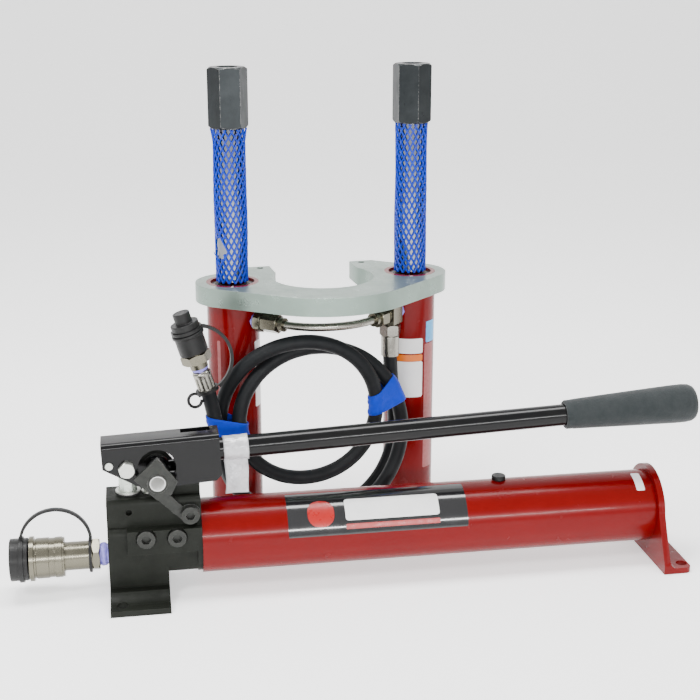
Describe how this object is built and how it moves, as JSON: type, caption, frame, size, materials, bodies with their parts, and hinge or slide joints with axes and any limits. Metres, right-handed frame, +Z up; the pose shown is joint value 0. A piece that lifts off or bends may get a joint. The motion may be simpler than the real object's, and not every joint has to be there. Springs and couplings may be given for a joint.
{
  "type": "hydraulic yoke press set",
  "caption": "Portable hydraulic puller: twin red cylinders under a U-shaped yoke plate, rods with tall hex coupling nuts, coiled hose and a lever hand pump.",
  "frame": {"origin": "on the floor, in the middle of the whole set", "axes": "+X along the pump's reservoir towards its end foot, +Y from the pump to the press, +Z up"},
  "size_m": [0.6311, 0.2762, 0.4481],
  "materials": {
    "zinc_plate": "satin pale zinc",
    "red_paint": "gloss",
    "steel_grey": "satin",
    "black_seal": "matt",
    "nickel_fitting": "satin nickel",
    "steel_tube": "satin",
    "hose_rubber": "satin",
    "strap_fabric": "matt hook and loop",
    "black_plastic": "satin",
    "chrome_rod": "polished",
    "blue_seal": "satin",
    "black_oxide": "black oxide",
    "net_plastic": "translucent gloss net",
    "cast_head": "satin black coat",
    "black_paint": "gloss",
    "zinc_fastener": "zinc",
    "black_screw": "black oxide",
    "violet_sealant": "satin thread sealant",
    "foam_grip": "matt foam rubber",
    "clear_film": "clear film",
    "plunger_zinc": "zinc",
    "copper_tube": "plain"
  },
  "bodies": {
    "press": {"yoke_plate": "zinc_plate", "left_barrel": "red_paint", "right_barrel": "red_paint", "left_gland": "steel_grey", "right_gland": "steel_grey", "rod_wipers": "black_seal", "port_adapter": "nickel_fitting", "port_tee": "nickel_fitting", "transfer_tube": "steel_tube", "tube_nuts": "nickel_fitting", "hose_swivel": "steel_tube", "hose_tail": "hose_rubber", "hose_coil": "hose_rubber", "hose_end": "hose_rubber", "hose_ferrule": "steel_tube", "hose_half_coupler": "nickel_fitting", "left_strap": "strap_fabric", "right_strap": "strap_fabric", "left_net": "net_plastic", "right_net": "net_plastic"},
    "hose_cap": {"hose_cap": "black_plastic", "hose_cap_strap": "black_plastic"},
    "left_rod": {"left_rod": "chrome_rod", "left_piston": "steel_grey", "left_piston_seal": "blue_seal", "left_nut": "black_oxide"},
    "right_rod": {"right_rod": "chrome_rod", "right_piston": "steel_grey", "right_piston_seal": "blue_seal", "right_nut": "black_oxide"},
    "pump": {"pump_head": "cast_head", "head_plugs": "black_screw", "reservoir_tube": "red_paint", "end_bracket": "red_paint", "tie_rod": "steel_tube", "tie_rod_nut": "zinc_fastener", "outlet_nipple": "violet_sealant", "coupler_body": "nickel_fitting", "plunger_gland": "zinc_fastener", "relief_plug": "zinc_fastener", "pump_seals": "black_seal", "check_balls": "chrome_rod", "oil_pickup": "copper_tube", "oil_strainer": "copper_tube", "link_screws": "black_screw"},
    "filler_plug": {"filler_plug": "black_plastic"},
    "release_knob": {"release_knob": "black_plastic"},
    "coupler_collar": {"coupler_collar": "nickel_fitting"},
    "coupler_cap": {"coupler_cap": "black_plastic", "coupler_cap_strap": "black_plastic"},
    "links": {"link_arms": "black_screw", "link_pivot": "black_screw"},
    "lever": {"lever_beam": "black_paint", "handle_tube": "black_paint", "grip": "foam_grip", "plunger_bolt": "zinc_fastener", "beam_rivet": "zinc_fastener", "film_tie": "clear_film"},
    "plunger": {"plunger": "plunger_zinc"}
  },
  "joints": [
    {"name": "left_rod_slide", "type": "slide", "parent": "press", "child": "left_rod", "axis": [0, 0, 1], "range_m": [-0.14, 0], "deforming": ["left_net"]},
    {"name": "right_rod_slide", "type": "slide", "parent": "press", "child": "right_rod", "axis": [0, 0, 1], "range_m": [-0.14, 0], "deforming": ["right_net"]},
    {"name": "hose_cap_pull", "type": "slide", "parent": "press", "child": "hose_cap", "axis": [-0.2828, -0.0262, 0.9588], "range_m": [0, 0.02]},
    {"name": "pump_move", "type": "slide", "parent": "press", "child": "pump", "axis": [0, -1, 0], "range_m": [0, 0.3]},
    {"name": "lever_pivot", "type": "hinge", "parent": "links", "child": "lever", "pos_m": [-0.1842, -0.079, 0.107], "axis": [0, -1, 0], "range_deg": [0, 36]},
    {"name": "link_swing", "type": "hinge", "parent": "pump", "child": "links", "pos_m": [-0.1572, -0.079, 0.0775], "axis": [0, -1, 0], "range_deg": [-6.5, 0]},
    {"name": "plunger_slide", "type": "slide", "parent": "pump", "child": "plunger", "axis": [0, 0, 1], "range_m": [-0.012, 0]},
    {"name": "release_turn", "type": "hinge", "parent": "pump", "child": "release_knob", "pos_m": [-0.1695, -0.039, 0.057], "axis": [0, 1, 0], "range_deg": [0, 180]},
    {"name": "filler_lift", "type": "slide", "parent": "pump", "child": "filler_plug", "axis": [0, 0, 1], "range_m": [0, 0.02]},
    {"name": "collar_slide", "type": "slide", "parent": "pump", "child": "coupler_collar", "axis": [1, 0, 0], "range_m": [0, 0.005], "stiffness_N_per_m": 600},
    {"name": "coupler_cap_pull", "type": "slide", "parent": "pump", "child": "coupler_cap", "axis": [-1, 0, 0], "range_m": [0, 0.016]}
  ],
  "couplings": [
    {"joint": "link_swing", "follows": "lever_pivot", "ratio": -0.175},
    {"joint": "plunger_slide", "follows": "lever_pivot", "m_per_rad": -0.018335}
  ]
}
